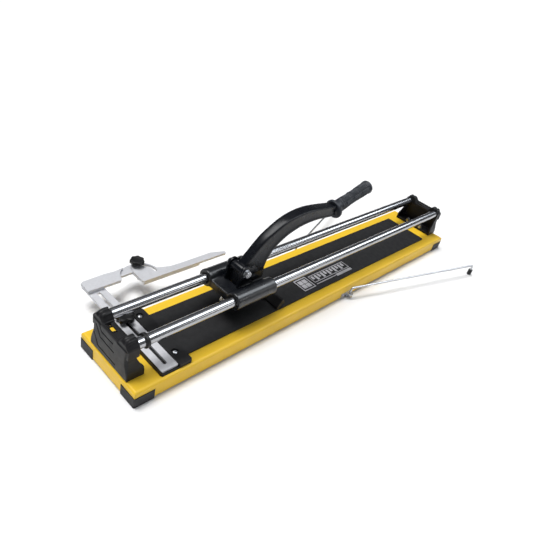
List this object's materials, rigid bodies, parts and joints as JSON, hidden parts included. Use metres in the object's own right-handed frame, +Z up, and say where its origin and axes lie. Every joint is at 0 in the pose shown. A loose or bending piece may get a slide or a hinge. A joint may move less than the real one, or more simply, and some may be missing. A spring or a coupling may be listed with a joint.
{
  "type": "tile cutter",
  "caption": "Manual tile cutter: rail-guided carriage with a hinged handle, scoring wheel and breaker foot, over a padded steel deck with a measuring guide and swing-out support arms.",
  "frame": {"origin": "centre of the whole object's footprint box on the floor, with the support arms swung out as stored; the deck's own centre line lies 12.4 mm towards the front (-Y)", "axes": "+X along the rails from the guide end to the far end, +Y from the front side to the back, +Z up"},
  "size_m": [1.0076, 0.4432, 0.2414],
  "materials": {
    "deck_paint": "satin yellow powder coat",
    "foot_rubber": "matt black",
    "mat_rubber": "matt black, fine grain",
    "rib_steel": "brushed",
    "bracket_plastic": "fine moulded grain",
    "zinc_steel": "zinc plated",
    "rail_chrome": "polished, hard chromed",
    "ring_rubber": "satin black",
    "block_plastic": "satin black",
    "gloss_black_paint": "gloss black coat on a casting",
    "bush_brass": "oiled",
    "dark_steel": "oiled steel",
    "grip_rubber": "satin, ribbed",
    "wheel_steel": "ground",
    "cast_aluminium": "fine cast, satin",
    "knob_plastic": "satin black"
  },
  "bodies": {
    "base": {"base_tray": "deck_paint", "corner_feet": "foot_rubber", "mat_front": "mat_rubber", "mat_back": "mat_rubber", "breaker_rib": "rib_steel", "bracket_near": "bracket_plastic", "bracket_far": "bracket_plastic", "bracket_bolts": "zinc_steel", "bracket_nuts": "zinc_steel", "bracket_washers": "zinc_steel", "rail_front": "rail_chrome", "rail_back": "rail_chrome", "stop_ring": "ring_rubber", "fence_block": "block_plastic", "block_screws": "zinc_steel", "clamp_stud": "zinc_steel", "clamp_washer": "zinc_steel", "arm_bracket_front": "zinc_steel", "arm_bracket_back": "zinc_steel", "arm_bracket_rivets": "zinc_steel"},
    "carriage": {"carriage_body": "gloss_black_paint", "slide_bushes": "bush_brass", "wiper_seals": "ring_rubber", "pivot_bolt": "zinc_steel", "pivot_nut": "zinc_steel", "pivot_washers": "zinc_steel"},
    "handle": {"handle_arm": "gloss_black_paint", "pivot_bush": "bush_brass", "grip": "grip_rubber", "wheel_holder": "zinc_steel", "holder_screw": "dark_steel", "wheel_axle": "dark_steel", "foot_pin": "zinc_steel"},
    "cutting_wheel": {"scoring_wheel": "wheel_steel"},
    "foot": {"breaker_foot": "block_plastic"},
    "guide": {"guide_bar": "cast_aluminium", "arm_pivot_pin": "zinc_steel"},
    "clamp": {"clamp_knob": "knob_plastic"},
    "fence_arm": {"angle_arm": "cast_aluminium"},
    "star": {"star_knob": "knob_plastic", "star_stud": "zinc_steel", "star_washer": "zinc_steel"},
    "support_front": {"support_rod_front": "zinc_steel", "support_cap_front": "foot_rubber", "support_clip_front": "zinc_steel"},
    "support_back": {"support_rod_back": "zinc_steel", "support_cap_back": "foot_rubber", "support_clip_back": "zinc_steel"}
  },
  "joints": [
    {"name": "carriage_slide", "type": "slide", "parent": "base", "child": "carriage", "axis": [1, 0, 0], "range_m": [-0.183, 0.59]},
    {"name": "handle_lift", "type": "hinge", "parent": "carriage", "child": "handle", "pos_m": [-0.2305, -0.01242, 0.13], "axis": [0, -1, 0], "range_deg": [0, 35]},
    {"name": "wheel_spin", "type": "hinge", "parent": "handle", "child": "cutting_wheel", "pos_m": [-0.2518, -0.01242, 0.0571], "axis": [0, 1, 0], "continuous": true},
    {"name": "foot_swing", "type": "hinge", "parent": "handle", "child": "foot", "pos_m": [-0.1785, -0.01242, 0.074], "axis": [0, -1, 0], "range_deg": [-81, 0.5]},
    {"name": "guide_slide", "type": "slide", "parent": "base", "child": "guide", "axis": [0, 1, 0], "range_m": [-0.07, 0.11]},
    {"name": "arm_turn", "type": "hinge", "parent": "guide", "child": "fence_arm", "pos_m": [-0.3345, 0.14358, 0.045], "axis": [0, 0, 1], "range_deg": [0, 68]},
    {"name": "star_turn", "type": "hinge", "parent": "guide", "child": "star", "pos_m": [-0.32463, 0.17507, 0.053], "axis": [0, 0, 1], "range_deg": [0, 360]},
    {"name": "clamp_turn", "type": "hinge", "parent": "base", "child": "clamp", "pos_m": [-0.4289, 0.05158, 0.045], "axis": [0, 0, 1], "range_deg": [0, 360]},
    {"name": "support_front_swing", "type": "hinge", "parent": "base", "child": "support_front", "pos_m": [0.0635, -0.10242, 0.028], "axis": [0, 0, 1], "range_deg": [-74, 15]},
    {"name": "support_back_swing", "type": "hinge", "parent": "base", "child": "support_back", "pos_m": [0.0665, 0.07758, 0.028], "axis": [0, 0, 1], "range_deg": [-18.6, 70]}
  ],
  "couplings": [
    {"joint": "foot_swing", "follows": "handle_lift", "ratio": -2.3}
  ]
}
